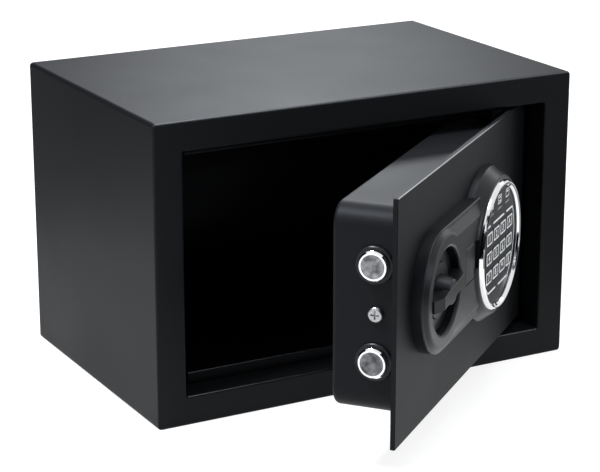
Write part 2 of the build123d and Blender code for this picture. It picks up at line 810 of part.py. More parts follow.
with BuildPart() as keypad_ring:
    with BuildSketch(level(keypad_position, 0, lock_height)):
        with BuildLine():
            Polyline(
                (seat_radius, -lobe_height),
                (ring_outer_radius, -lobe_height),
                (ring_outer_radius - 0.4, -lobe_height - ring_height + 1.5),
                (ring_outer_radius - 1.1, -lobe_height - ring_height + 0.5),
                (ring_outer_radius - 1.9, -lobe_height - ring_height),
                (seat_radius + 2.0, -lobe_height - ring_height),
                (seat_radius + 1.1, -lobe_height - ring_height + 0.5),
                (seat_radius, -lobe_height - ring_height + 1.8),
                close=True,
            )
        make_face()
    revolve(axis=door_axis(keypad_position, lock_height))
keypad_ring.part.label = "keypad_ring"
export_step(keypad_ring.part, "parts/keypad_ring.step")

key_rows = [
    ["key_1", "key_2", "key_3", "key_a"],
    ["key_4", "key_5", "key_6", "key_0"],
    ["key_7", "key_8", "key_9", "key_b"],
]
key_spots = {
    name: (
        keypad_position + (column - 1.5) * key_pitch_across,
        lock_height - key_drop + (1 - row) * key_pitch_up,
    )
    for row, names in enumerate(key_rows)
    for column, name in enumerate(names)
}
window_width = 9.0
window_height = 1.4
window_pitch = 17.4
window_rise = 24.5
window_spots = [
    (keypad_position + step * window_pitch, lock_height + window_rise) for step in (-1, 0, 1)
]

with BuildPart() as keypad_face:
    with BuildSketch(facing(0, -face_bottom, 0)):
        with Locations((keypad_position, lock_height)):
            Circle(keypad_radius)
        with Locations(*key_spots.values()):
            RectangleRounded(
                key_width + 2 * key_gap, key_height + 2 * key_gap, 1.0, mode=Mode.SUBTRACT
            )
        with Locations(*window_spots):
            Rectangle(window_width, window_height, mode=Mode.SUBTRACT)
    extrude(amount=keypad_face_thickness)
keypad_face.part.label = "keypad_face"
export_step(keypad_face.part, "parts/keypad_face.step")

with BuildPart() as indicator_windows:
    with BuildSketch(facing(0, -face_bottom, 0)):
        with Locations(*window_spots):
            Rectangle(window_width, window_height)
    extrude(amount=keypad_face_thickness + 0.05)
indicator_windows.part.label = "indicator_windows"
export_step(indicator_windows.part, "parts/indicator_windows.step")

with BuildPart() as keypad_board:
    with BuildSketch(facing(keypad_position, -board_top, lock_height)):
        Circle(board_radius)
    extrude(amount=-board_thickness)
keypad_board.part.label = "keypad_board"
export_step(keypad_board.part, "parts/keypad_board.step")

dome_height = 0.35
with BuildPart() as key_domes:
    with BuildSketch(facing(0, -board_top, 0)):
        with Locations(*key_spots.values()):
            Circle(2.5)
    extrude(amount=dome_height)
key_domes.part.label = "key_domes"
export_step(key_domes.part, "parts/key_domes.step")

flange_bottom = board_top + dome_height + key_travel + 0.1
flange_thickness = face_bottom - 0.05 - flange_bottom
for key_name, (key_u, key_z) in key_spots.items():
    with BuildPart() as key:
        with BuildSketch(facing(key_u, -flange_bottom, key_z)):
            RectangleRounded(key_width + 0.8, key_height + 0.8, 1.2)
        extrude(amount=flange_thickness)
        with BuildSketch(facing(key_u, -flange_bottom, key_z)):
            RectangleRounded(key_width, key_height, 0.9)
        extrude(amount=keypad_face_top + key_proud - flange_bottom)
        chamfer(key.faces().sort_by(Axis((0, 0, 0), -inward))[-1].edges(), 0.25)
    key.part.label = key_name
    export_step(key.part, f"parts/{key_name}.step")

# ---------------------------------------------------------------- key lock

with BuildPart() as key_cover:
    with BuildSketch(facing(cylinder_position, -cover_floor, cover_middle)):
        RectangleRounded(
            cover_width - 2 * cover_gap, cover_height - 2 * cover_gap, cover_corner - cover_gap
        )
    extrude(amount=crest_height - cover_floor)
    chamfer(key_cover.faces().sort_by(Axis((0, 0, 0), -inward))[-1].edges(), 0.3)
    with BuildSketch(facing(cylinder_position, -cover_floor, cover_middle)):
        Rectangle(
            cover_width - 2 * (cover_gap + cover_wall), cover_height - 2 * (cover_gap + cover_wall)
        )
    extrude(amount=crest_height - cover_skin - cover_floor, mode=Mode.SUBTRACT)
key_cover.part.label = "key_cover"
export_step(key_cover.part, "parts/key_cover.step")

lever_thickness = 1.8
lever_front = carrier_back + lever_thickness
lever_back = lever_front + lever_thickness
cylinder_back = lever_front - 0.3
with BuildPart() as lock_cylinder:
    with BuildSketch(facing(cylinder_position, cylinder_back, lock_height)):
        Circle(cylinder_radius)
    extrude(amount=cylinder_back + lock_flange)
    with BuildSketch(facing(cylinder_position, 0, lock_height)):
        Circle(lock_flange_radius)
    extrude(amount=lock_flange)
    with BuildSketch(facing(cylinder_position, cylinder_back, lock_height)):
        Circle(plug_radius + running_clearance)
    extrude(amount=cylinder_back + lock_flange, mode=Mode.SUBTRACT)
lock_cylinder.part.label = "lock_cylinder"
export_step(lock_cylinder.part, "parts/lock_cylinder.step")

with BuildPart() as lock_nut:
    with BuildSketch(facing(cylinder_position, plate_thickness, lock_height)):
        RegularPolygon(nut_radius, 6, major_radius=False)
        Circle(cylinder_radius, mode=Mode.SUBTRACT)
    extrude(amount=-nut_thickness)
lock_nut.part.label = "lock_nut"
export_step(lock_nut.part, "parts/lock_nut.step")

with BuildPart() as lock_plug:
    with BuildSketch(facing(cylinder_position, lever_back, lock_height)):
        Circle(plug_radius)
    extrude(amount=lever_back + lock_flange)
    with BuildSketch(facing(cylinder_position, -lock_flange, lock_height)):
        Rectangle(keyway_width, keyway_height)
    extrude(amount=-keyway_depth, mode=Mode.SUBTRACT)
lock_plug.part.label = "lock_plug"
export_step(lock_plug.part, "parts/lock_plug.step")

# The lever swings a quarter turn from pointing down to just under the plunger's collar.
collar_bottom = tail_top + plunger_travel + 0.5
lever_tip_radius = 1.5
lever_rise = collar_bottom - 0.3 - lever_tip_radius - lock_height
lever_run = cylinder_position - plunger_position - 2.5
lever_length = hypot(lever_run, lever_rise)
lever_rest = 270.0 - degrees(atan2(lever_rise, lever_run))
lever_tip = (lever_length * cos(radians(lever_rest)), lever_length * sin(radians(lever_rest)))
lever_root_radius = plug_radius + 2.0
lean = degrees(asin((lever_root_radius - lever_tip_radius) / lever_length))
root_dirs = [lever_rest + 90 - lean, lever_rest - 90 + lean]

with BuildPart() as lock_lever:
    with BuildSketch(facing(cylinder_position, lever_back, lock_height)):
        Circle(lever_root_radius)
        with Locations(lever_tip):
            Circle(lever_tip_radius)
        with BuildLine():
            Polyline(
                *[
                    (x0 + r * cos(radians(a)), y0 + r * sin(radians(a)))
                    for (x0, y0), r, a in (
                        ((0, 0), lever_root_radius, root_dirs[0]),
                        (lever_tip, lever_tip_radius, root_dirs[0]),
                        (lever_tip, lever_tip_radius, root_dirs[1]),
                        ((0, 0), lever_root_radius, root_dirs[1]),
                    )
                ],
                close=True,
            )
        make_face()
        Circle(plug_radius, mode=Mode.SUBTRACT)
    extrude(amount=lever_back - lever_front)
lock_lever.part.label = "lock_lever"
export_step(lock_lever.part, "parts/lock_lever.step")

# ---------------------------------------------------------------- solenoid

solenoid_bottom = collar_bottom + collar_thickness + 0.6
solenoid_height = 26.0
solenoid_width = 19.0
solenoid_depth = 24.0
solenoid_sheet = 1.5
coil_radius = 8.0
bore_clearance = 0.1
plunger_tip = tail_top + 0.6
with BuildPart() as solenoid_frame:
    with BuildSketch(level(plunger_position, plate_thickness, solenoid_bottom)):
        Rectangle(solenoid_width, solenoid_depth, align=(Align.CENTER, Align.MIN))
    extrude(amount=solenoid_height)
    with BuildSketch(level(plunger_position, plate_thickness + solenoid_sheet, solenoid_bottom)):
        Rectangle(solenoid_width, solenoid_depth, align=(Align.CENTER, Align.MIN))
    extrude(amount=solenoid_height, mode=Mode.SUBTRACT)
    for flange_z in (solenoid_bottom, solenoid_bottom + solenoid_height - solenoid_sheet):
        with BuildSketch(level(plunger_position, plate_thickness, flange_z)):
            Rectangle(solenoid_width, solenoid_depth, align=(Align.CENTER, Align.MIN))
        extrude(amount=solenoid_sheet)
    with BuildSketch(level(plunger_position, bolt_setback, solenoid_bottom)):
        Circle(plunger_radius + bore_clearance)
    extrude(amount=solenoid_sheet, mode=Mode.SUBTRACT)
solenoid_frame.part.label = "solenoid_frame"
export_step(solenoid_frame.part, "parts/solenoid_frame.step")

with BuildPart() as solenoid_coil:
    with BuildSketch(level(plunger_position, bolt_setback, solenoid_bottom + solenoid_sheet)):
        Circle(coil_radius)
        Circle(plunger_radius + bore_clearance, mode=Mode.SUBTRACT)
    extrude(amount=solenoid_height - 2 * solenoid_sheet)
solenoid_coil.part.label = "solenoid_coil"
export_step(solenoid_coil.part, "parts/solenoid_coil.step")

with BuildPart() as solenoid_plunger:
    with BuildSketch(level(plunger_position, bolt_setback, plunger_tip)):
        Circle(plunger_radius)
    extrude(amount=solenoid_bottom + plunger_reach - plunger_tip)
    with BuildSketch(level(plunger_position, bolt_setback, collar_bottom)):
        Circle(collar_radius)
    extrude(amount=collar_thickness)
solenoid_plunger.part.label = "solenoid_plunger"
export_step(solenoid_plunger.part, "parts/solenoid_plunger.step")

# ---------------------------------------------------------------- batteries

tray_wall = 1.5
tray_floor = box_inner_back - 2 * cell_radius - 2.4
with BuildPart() as battery_tray:
    with BuildSketch(facing(battery_middle, box_inner_back, lock_height)):
        Rectangle(battery_width, battery_height)
    extrude(amount=box_inner_back - tray_floor + tray_wall)
    with BuildSketch(facing(battery_middle, box_inner_back, lock_height)):
        Rectangle(battery_width - 2 * tray_wall, battery_height - 2 * tray_wall)
    extrude(amount=box_inner_back - tray_floor, mode=Mode.SUBTRACT)
battery_tray.part.label = "battery_tray"
export_step(battery_tray.part, "parts/battery_tray.step")

cell_places = [
    level(
        battery_middle + (number - (cell_count - 1) / 2) * cell_pitch,
        tray_floor + cell_radius,
        lock_height - cell_length / 2,
    )
    for number in range(cell_count)
]
with BuildPart() as battery_cells:
    with BuildSketch(*cell_places):
        Circle(cell_radius)
    extrude(amount=cell_length - nub_height)
    with BuildSketch(*cell_places):
        Circle(nub_radius)
    extrude(amount=cell_length)
battery_cells.part.label = "battery_cells"
export_step(battery_cells.part, "parts/battery_cells.step")

with BuildPart() as battery_lid:
    with BuildSketch(facing(battery_middle, box_back, lock_height)):
        RectangleRounded(lid_width - 2 * lid_gap, lid_height - 2 * lid_gap, 1.5)
    extrude(amount=box_sheet)
    with BuildSketch(facing(battery_middle, box_back, lock_height + lid_height / 2 - 7.0)):
        SlotOverall(*lid_tab)
    extrude(amount=-lid_tab_height)
battery_lid.part.label = "battery_lid"
export_step(battery_lid.part, "parts/battery_lid.step")

# ---------------------------------------------------------------- reset button

housing_radius = 7.0
housing_depth = 9.0
housing_bore = 4.6
housing_bore_depth = 7.0
button_length = 7.0
button_proud = 0.8
button_flange_radius = reset_radius + 1.2
button_flange_thickness = 1.5
with BuildPart() as reset_housing:
    with BuildSketch(facing(reset_u, box_inner_back, reset_z)):
        Circle(housing_radius)
    extrude(amount=housing_depth)
    with BuildSketch(facing(reset_u, box_inner_back, reset_z)):
        Circle(housing_bore)
    extrude(amount=housing_bore_depth, mode=Mode.SUBTRACT)
reset_housing.part.label = "reset_housing"
export_step(reset_housing.part, "parts/reset_housing.step")

with BuildPart() as reset_button:
    with BuildSketch(facing(reset_u, box_back + button_proud, reset_z)):
        Circle(reset_radius)
    extrude(amount=button_length)
    with BuildSketch(facing(reset_u, box_inner_back - 0.1, reset_z)):
        Circle(button_flange_radius)
    extrude(amount=button_flange_thickness)
reset_button.part.label = "reset_button"
export_step(reset_button.part, "parts/reset_button.step")
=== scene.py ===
import json
import math

import bmesh
import bpy
from bpy.props import FloatProperty, FloatVectorProperty, PointerProperty
from mathutils import Matrix, Vector


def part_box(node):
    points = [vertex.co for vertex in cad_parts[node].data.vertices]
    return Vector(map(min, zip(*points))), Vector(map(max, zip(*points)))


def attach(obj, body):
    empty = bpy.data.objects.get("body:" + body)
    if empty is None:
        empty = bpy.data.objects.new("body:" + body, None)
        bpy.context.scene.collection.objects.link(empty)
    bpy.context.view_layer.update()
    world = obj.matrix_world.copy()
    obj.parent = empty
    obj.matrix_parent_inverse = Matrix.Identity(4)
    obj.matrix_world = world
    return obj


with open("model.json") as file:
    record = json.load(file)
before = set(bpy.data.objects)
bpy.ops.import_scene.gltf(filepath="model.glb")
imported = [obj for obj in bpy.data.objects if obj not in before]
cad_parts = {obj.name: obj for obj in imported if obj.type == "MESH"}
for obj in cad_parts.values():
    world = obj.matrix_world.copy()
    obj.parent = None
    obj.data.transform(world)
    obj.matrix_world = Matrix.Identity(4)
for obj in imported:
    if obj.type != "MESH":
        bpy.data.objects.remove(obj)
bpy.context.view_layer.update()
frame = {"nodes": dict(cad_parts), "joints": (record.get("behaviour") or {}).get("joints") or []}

bl_info = {
    "name": "Gun Safe Finish",
    "version": (1, 0, 0),
    "blender": (4, 5, 0),
    "location": "View3D > Sidebar > Gun Safe",
    "description": "Finishes a keypad gun safe: coated steel, moulded panel, chromed bolts and printed keys",
    "category": "Object",
}

MM = 0.001
# How strongly the satin coat mirrors, against 0.5 for a gloss one.
COAT_LEVEL = 0.14
# Black coats and black plastics mirror a little cooler than the light.
COOL_SHINE = "#f0f6ff"
# Where a skin counts as facing one way: the cosine at which its painted edge highlight starts, and where it
# is full.
HIGHLIGHT_START, HIGHLIGHT_FULL = 0.93, 0.96
WHITE = (1, 1, 1, 1)
NODES = frame["nodes"]
JOINTS = {joint["name"]: joint for joint in frame["joints"]}

# The door's own frame: x along the door, y up, z out of its front, origin on the knob's axis.
OUTWARD = Vector(JOINTS["knob_turn"]["axis"])
UP = Vector((0, 0, 1))
ALONG = UP.cross(OUTWARD)
DOOR = Matrix.Translation(JOINTS["knob_turn"]["pos_m"]) @ Matrix((ALONG, UP, OUTWARD)).transposed().to_4x4()
DOOR_TURN = DOOR.to_euler()

KEY_LEGENDS = {
    "key_1": "1",
    "key_2": "2",
    "key_3": "3",
    "key_a": "A",
    "key_4": "4",
    "key_5": "5",
    "key_6": "6",
    "key_0": "0",
    "key_7": "7",
    "key_8": "8",
    "key_9": "9",
    "key_b": "B",
}


# ------------------------------------------------------------------ places


def door_box(node):
    """Lowest and highest corner of a CAD node in the door's own frame."""
    to_door = DOOR.inverted()
    places = [to_door @ vertex.co for vertex in NODES[node].data.vertices]
    low = Vector(min(place[axis] for place in places) for axis in range(3))
    high = Vector(max(place[axis] for place in places) for axis in range(3))
    return low, high


def door_centre(node):
    """Middle of a CAD node in the door's own frame, on its front."""
    low, high = door_box(node)
    return Vector(((low.x + high.x) / 2, (low.y + high.y) / 2, high.z))


# ------------------------------------------------------------------ materials


def linear(hex_colour):
    """Linear RGBA of an sRGB hex colour."""
    parts = [int(hex_colour[place : place + 2], 16) / 255 for place in (1, 3, 5)]
    return (*[part / 12.92 if part <= 0.04045 else ((part + 0.055) / 1.055) ** 2.4 for part in parts], 1.0)


def shade(colour, share):
    """The same colour, darker or lighter by a share, and never past white."""
    return tuple(min(1.0, part * share) for part in colour[:3]) + (1,)


def add_node(tree, kind, links=(), inputs=(), **settings):
    """Adds a node, sets its properties and inputs, and links outputs to its inputs."""
    node = tree.nodes.new(kind)
    for name, value in settings.items():
        setattr(node, name, value)
    for name, value in dict(inputs).items():
        node.inputs[name].default_value = value
    for name, output in dict(links).items():
        tree.links.new(output, node.inputs[name])
    return node


def start_material(name, colour, roughness, **shader):
    """A material with one Principled shader, and its Object coordinates."""
    material = bpy.data.materials.new(name)
    material.use_nodes = True
    tree = material.node_tree
    tree.nodes.clear()
    place = add_node(tree, "ShaderNodeTexCoord").outputs["Object"]
    inputs = {"Base Color": colour, "Roughness": roughness, **shader}
    principled = add_node(tree, "ShaderNodeBsdfPrincipled", inputs=inputs)
    add_node(tree, "ShaderNodeOutputMaterial", {"Surface": principled.outputs["BSDF"]})
    return material, tree, principled, place


def vary(tree, principled, driver, socket, low, high, driver_low=0.3, driver_high=0.7):
    """Varies one number of the shader between two values."""
    spread = {"From Min": driver_low, "From Max": driver_high, "To Min": low, "To Max": high}
    mapped = add_node(tree, "ShaderNodeMapRange", {"Value": driver}, spread)
    tree.links.new(mapped.outputs["Result"], principled.inputs[socket])


def tint(tree, principled, driver, dark, light, low=0.3, high=0.7):
    """Varies the base colour between two colours."""
    ramp = add_node(tree, "ShaderNodeValToRGB", {"Fac": driver})
    ramp.color_ramp.elements[0].position = low
    ramp.color_ramp.elements[0].color = dark
    ramp.color_ramp.elements[1].position = high
    ramp.color_ramp.elements[1].color = light
    tree.links.new(ramp.outputs["Color"], principled.inputs["Base Color"])


def noise(tree, place, size_mm, detail=2.0, stretch=None):
    """Noise whose grains are about size_mm across."""
    if stretch:
        place = add_node(tree, "ShaderNodeMapping", {"Vector": place}, {"Scale": stretch}).outputs["Vector"]
    inputs = {"Scale": 1 / (size_mm * MM), "Detail": detail}
    return add_node(tree, "ShaderNodeTexNoise", {"Vector": place}, inputs).outputs["Fac"]


def band_scale(pitch_mm):
    """Scale of a wave texture whose bands lie pitch_mm apart. At a scale of 1 they lie tau / 20 apart."""
    return math.tau / 20 / (pitch_mm * MM)


def relief(tree, principled, height, depth_mm):
    """Raises the surface by a height pattern of a real depth."""
    inputs = {"Strength": 1.0, "Distance": depth_mm * MM}
    bump = add_node(tree, "ShaderNodeBump", {"Height": height}, inputs)
    tree.links.new(bump.outputs["Normal"], principled.inputs["Normal"])


def powder_coat(name, colour, roughness):
    """Black polyester powder coat, sprayed and baked: a satin skin with a fine orange peel."""
    dark = shade(colour, 0.86)
    light = shade(colour, 1.14)
    shader = {"IOR": 1.48, "Specular IOR Level": COAT_LEVEL, "Specular Tint": linear(COOL_SHINE)}
    material, tree, principled, place = start_material(name, colour, roughness, **shader)
    # The grit of baked powder is about 0.25 mm; drawn at 0.7 mm, so that it shows. Orange peel is
    # about 3 mm across, and the gloss drifts over a hand's width.
    grit = noise(tree, place, 0.7, 3.0)
    peel = noise(tree, place, 3.2, 1.0)
    cloud = noise(tree, place, 60.0, 2.0)
    tint(tree, principled, grit, dark, light)
    rough_mix = add_node(tree, "ShaderNodeMath", {0: grit, 1: cloud}, operation="ADD").outputs[0]
    vary(tree, principled, rough_mix, "Roughness", roughness - 0.025, roughness + 0.025, 0.7, 1.3)
    scaled_peel = add_node(tree, "ShaderNodeMath", {0: peel}, {1: 1.6}, operation="MULTIPLY").outputs[0]
    surface = add_node(tree, "ShaderNodeMath", {0: grit, 1: scaled_peel}, operation="ADD").outputs[0]
    relief(tree, principled, surface, 0.022)
    return material


def painted_edge_highlight(material, direction):
    """Painted highlight on the coat where the skin faces one way, along a chamfer or a bend: it mirrors fully
    there and is smoother.
    """
    tree = material.node_tree
    principled = next(node for node in tree.nodes if node.type == "BSDF_PRINCIPLED")
    skin = add_node(tree, "ShaderNodeTexCoord").outputs["Normal"]
    way = {1: tuple(direction.normalized())}
    facing = add_node(tree, "ShaderNodeVectorMath", {0: skin}, way, operation="DOT_PRODUCT").outputs["Value"]
    # Painted highlight: where the skin faces this way, the specular level rises to full and the roughness
    # drops to 0.4 of the coat's.
    vary(tree, principled, facing, "Specular IOR Level", COAT_LEVEL, 1.0, HIGHLIGHT_START, HIGHLIGHT_FULL)
    skin_roughness = principled.inputs["Roughness"].links[0].from_socket
    spread = {"From Min": HIGHLIGHT_START, "From Max": HIGHLIGHT_FULL, "To Min": 1.0, "To Max": 0.4}
    highlight_smoothing = add_node(tree, "ShaderNodeMapRange", {"Value": facing}, spread).outputs["Result"]
    pair = {0: skin_roughness, 1: highlight_smoothing}
    highlight_roughness = add_node(tree, "ShaderNodeMath", pair, operation="MULTIPLY").outputs[0]
    tree.links.new(highlight_roughness, principled.inputs["Roughness"])
    return material


def moulded_plastic(name, colour, roughness, grain_mm=0.5, depth_mm=0.012, ior=1.52, gloss=0.25):
    """Injection-moulded ABS or nylon out of a spark-eroded mould: a fine even grain."""
    dark = shade(colour, 0.9)
    light = shade(colour, 1.1)
    shader = {"IOR": ior, "Specular IOR Level": gloss, "Specular Tint": linear(COOL_SHINE)}
    material, tree, principled, place = start_material(name, colour, roughness, **shader)
    # Erosion grain is about 0.1 mm; drawn at half a millimetre, so that it shows. The melt's flow
    # leaves pale clouds about 20 mm across.
    grain = noise(tree, place, grain_mm, 3.0)
    flow = noise(tree, place, 22.0, 2.0)
    tint(tree, principled, flow, dark, light)
    vary(tree, principled, grain, "Roughness", roughness - 0.04, roughness + 0.06)
    relief(tree, principled, grain, depth_mm)
    return material


def chrome(name, colour, roughness, pits_mm=1.6):
    """Bright chrome over nickel: a mirror, faintly hazed where it was handled."""
    material, tree, principled, place = start_material(name, colour, roughness, Metallic=1.0)
    # Finger haze comes in patches of about 9 mm, over fine pits.
    haze = noise(tree, place, 9.0, 4.0)
    dimples = noise(tree, place, pits_mm, 2.0)
    vary(tree, principled, haze, "Roughness", roughness * 0.6, roughness * 1.6)
    relief(tree, principled, dimples, 0.003)
    return material


def turned_steel(name, colour, face_colour, centre, turn, face_radius):
    """Chromed bar whose end was ground flat: bright round its chamfer, satin and scuffed inside it."""
    material, tree, principled, place = start_material(name, colour, 0.14, Metallic=1.0)
    settings = {"Location": centre, "Rotation": turn}
    local = add_node(tree, "ShaderNodeMapping", {"Vector": place}, settings, vector_type="TEXTURE")
    # The bar lies along its own X, so the distance from its axis leaves X out.
    across = {1: (0.0, 1.0, 1.0)}
    flat = add_node(tree, "ShaderNodeVectorMath", {0: local.outputs["Vector"]}, across, operation="MULTIPLY")
    reach = add_node(tree, "ShaderNodeVectorMath", {0: flat.outputs["Vector"]}, operation="LENGTH")
    # The ground face ends within a tenth of a millimetre.
    edge = {"From Min": face_radius + 0.05 * MM, "From Max": face_radius - 0.05 * MM}
    inside = add_node(tree, "ShaderNodeMapRange", {"Value": reach.outputs["Value"]}, edge).outputs["Result"]
    # Scuffs about 5 mm across lie over scratches just under a millimetre apart.
    cloud = noise(tree, place, 4.6, 5.0)
    scratches = noise(tree, place, 0.9, 2.0, stretch=(1.0, 1.0, 0.18))
    mottle = add_node(tree, "ShaderNodeMapRange", {"Value": cloud}, {"From Min": 0.34, "From Max": 0.66})
    dark = shade(face_colour, 0.42)
    light = shade(face_colour, 1.45)
    ground = add_node(tree, "ShaderNodeMix", {"Factor": mottle.outputs["Result"]}, data_type="RGBA")
    ground.inputs["A"].default_value = dark
    ground.inputs["B"].default_value = light
    whole = add_node(tree, "ShaderNodeMix", {"Factor": inside}, data_type="RGBA")
    whole.inputs["A"].default_value = colour
    tree.links.new(ground.outputs["Result"], whole.inputs["B"])
    tree.links.new(whole.outputs["Result"], principled.inputs["Base Color"])
    rough = add_node(tree, "ShaderNodeMath", {0: inside, 1: scratches}, operation="MULTIPLY").outputs[0]
    vary(tree, principled, rough, "Roughness", 0.1, 0.42, 0.0, 0.7)
    relief(tree, principled, rough, 0.01)
    return material


def zinc_plate(name, colour, roughness):
    """Bright zinc plating on pressed steel: a soft grey spangle with rolling marks."""
    material, tree, principled, place = start_material(name, colour, roughness, Metallic=1.0)
    # A spangle is about 3.5 mm across, and the rolling marks are about a millimetre apart.
    inputs = {"Scale": 1 / (3.5 * MM)}
    spangle = add_node(tree, "ShaderNodeTexVoronoi", {"Vector": place}, inputs).outputs["Distance"]
    streaks = noise(tree, place, 1.2, 3.0, stretch=(1.0, 1.0, 0.12))
    dark = shade(colour, 0.75)
    tint(tree, principled, spangle, dark, colour, 0.1, 0.6)
    vary(tree, principled, streaks, "Roughness", roughness - 0.08, roughness + 0.12)
    relief(tree, principled, streaks, 0.006)
    return material


def turned_brass(name, colour, roughness):
    """Free-cutting brass, turned and left bare: warm, with fine tool marks and a light tarnish."""
    material, tree, principled, place = start_material(name, colour, roughness, Metallic=1.0)
    tarnish = noise(tree, place, 5.0, 4.0)
    marks = noise(tree, place, 0.5, 2.0)
    dark = shade(colour, 0.6)
    tint(tree, principled, tarnish, dark, colour, 0.35, 0.6)
    vary(tree, principled, marks, "Roughness", roughness - 0.05, roughness + 0.1)
    relief(tree, principled, marks, 0.005)
    return material


def silicone_rubber(name, colour, roughness):
    """Moulded silicone rubber of the keys: matt, with a powdery bloom at a low angle."""
    sheen = {"Sheen Weight": 0.12, "Sheen Roughness": 0.4}
    material, tree, principled, place = start_material(name, colour, roughness, IOR=1.42, **sheen)
    dust = noise(tree, place, 0.35, 3.0)
    bloom = noise(tree, place, 6.0, 2.0)
    light = shade(colour, 1.15)
    tint(tree, principled, bloom, colour, light)
    vary(tree, principled, dust, "Roughness", roughness - 0.05, roughness + 0.08)
    relief(tree, principled, dust, 0.008)
    return material


def printed_ink(name, colour):
    """Screen-printed epoxy ink: an even matt film with a faint mesh texture and thin spots."""
    material, tree, principled, place = start_material(name, colour, 0.5, IOR=1.5)
    mesh_texture = noise(tree, place, 0.3, 2.0)
    thin = shade(colour, 0.86)
    tint(tree, principled, mesh_texture, thin, colour, 0.25, 0.55)
    relief(tree, principled, mesh_texture, 0.004)
    return material


def clear_window(name, colour, roughness):
    """Smoked polycarbonate light pipe: smooth, slightly milky, dark while unlit."""
    depth = {"Transmission Weight": 0.25, "IOR": 1.58}
    material, tree, principled, place = start_material(name, colour, roughness, **depth)
    milk = noise(tree, place, 1.5, 2.0)
    light = shade(colour, 1.3)
    tint(tree, principled, milk, colour, light)
    relief(tree, principled, milk, 0.003)
    return material


def circuit_board(name, colour, roughness):
    """Solder mask over glass cloth: a glossy green lacquer with the cloth's weave under it."""
    material, tree, principled, place = start_material(name, colour, roughness, IOR=1.55)
    inputs = {"Scale": band_scale(0.6)}
    weave = add_node(tree, "ShaderNodeTexWave", {"Vector": place}, inputs, bands_direction="Z").outputs["Fac"]
    cloud = noise(tree, place, 4.0, 2.0)
    light = shade(colour, 1.25)
    tint(tree, principled, cloud, colour, light)
    relief(tree, principled, weave, 0.01)
    return material


def winding_tape(name, colour, roughness):
    """Polyimide tape wound over a coil: amber film with overlapping edges every 4 mm."""
    material, tree, principled, place = start_material(name, colour, roughness, IOR=1.6)
    inputs = {"Scale": band_scale(4.0), "Distortion": 0.4}
    kind = {"bands_direction": "Z", "wave_profile": "SAW"}
    laps = add_node(tree, "ShaderNodeTexWave", {"Vector": place}, inputs, **kind).outputs["Fac"]
    dark = shade(colour, 0.55)
    tint(tree, principled, laps, dark, colour, 0.0, 0.5)
    relief(tree, principled, laps, 0.05)
    return material


def cell_jacket(name, colour, end_colour, roughness):
    """Shrink film on a dry cell: glossy, dark along most of its length and metallic at one end."""
    material, tree, principled, place = start_material(name, colour, roughness, IOR=1.5)
    low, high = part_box("battery_cells")
    level = add_node(tree, "ShaderNodeSeparateXYZ", {"Vector": place}).outputs["Z"]
    share = {"From Min": low.z, "From Max": high.z}
    along = add_node(tree, "ShaderNodeMapRange", {"Value": level}, share).outputs["Result"]
    tint(tree, principled, along, colour, end_colour, 0.7, 0.72)
    scuffs = noise(tree, place, 2.0, 3.0)
    vary(tree, principled, scuffs, "Roughness", roughness - 0.05, roughness + 0.1)
    return material


def dress(material, *names):
    """Gives CAD nodes one material in all their slots."""
    for name in names:
        mesh = NODES[name].data
        mesh.materials.clear()
        mesh.materials.append(material)


# ------------------------------------------------------------------ printing


def new_piece(name, mesh_data, material, body):
    """Links a finished piece, gives it its material and lets it ride on a body."""
    piece = bpy.data.objects.new(name, mesh_data)
    bpy.context.scene.collection.objects.link(piece)
    mesh_data.materials.clear()
    mesh_data.materials.append(material)
    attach(piece, body)


def print_mesh(name, shapes, surface):
    """Joins flat ink shapes, gives the film its thickness and lays it on the door's frame."""
    ink = 0.05 * MM
    whole = bmesh.new()
    for shape in shapes:
        scrap = bpy.data.meshes.new("scrap")
        shape.to_mesh(scrap)
        shape.free()
        whole.from_mesh(scrap)
        bpy.data.meshes.remove(scrap)
    for face in whole.faces:
        if face.normal.z < 0:
            face.normal_flip()
    top = bmesh.ops.extrude_face_region(whole, geom=list(whole.faces), use_keep_orig=True)
    raised = [item for item in top["geom"] if isinstance(item, bmesh.types.BMVert)]
    bmesh.ops.translate(whole, verts=raised, vec=(0, 0, ink))
    bmesh.ops.recalc_face_normals(whole, faces=list(whole.faces))
    bmesh.ops.transform(whole, matrix=DOOR @ Matrix.Translation((0, 0, surface)), verts=list(whole.verts))
    mesh_data = bpy.data.meshes.new(name)
    whole.to_mesh(mesh_data)
    whole.free()
    return mesh_data


def bar_shape(x_low, x_high, y_middle, thickness):
    """A straight printed bar with rounded ends."""
    shape = bmesh.new()
    bmesh.ops.create_grid(shape, x_segments=1, y_segments=1, size=0.5)
    bmesh.ops.scale(shape, vec=(x_high - x_low, thickness, 1), verts=list(shape.verts))
    bmesh.ops.translate(shape, vec=((x_low + x_high) / 2, y_middle, 0), verts=list(shape.verts))
    rounding = {"affect": "VERTICES", "segments": 3, "profile": 0.5, "material": -1}
    bmesh.ops.bevel(shape, geom=list(shape.verts), offset=thickness * 0.3, **rounding)
    return shape


def outline_shape(width, height, centre, corner, line):
    """A printed rectangle outline with rounded corners."""
    shape = bmesh.new()
    rounding = {"affect": "VERTICES", "segments": 4, "profile": 0.5, "material": -1}
    for inset in (0.0, line):
        plate = bmesh.ops.create_grid(shape, x_segments=1, y_segments=1, size=0.5)["verts"]
        size = (width - 2 * inset, height - 2 * inset, 1)
        bmesh.ops.scale(shape, vec=size, verts=plate)
        bmesh.ops.translate(shape, vec=(centre.x, centre.y, 0), verts=plate)
        bmesh.ops.bevel(shape, geom=plate, offset=corner - 0.6 * inset, **rounding)
    bmesh.ops.delete(shape, geom=list(shape.faces), context="FACES_ONLY")
    bmesh.ops.bridge_loops(shape, edges=list(shape.edges))
    return shape


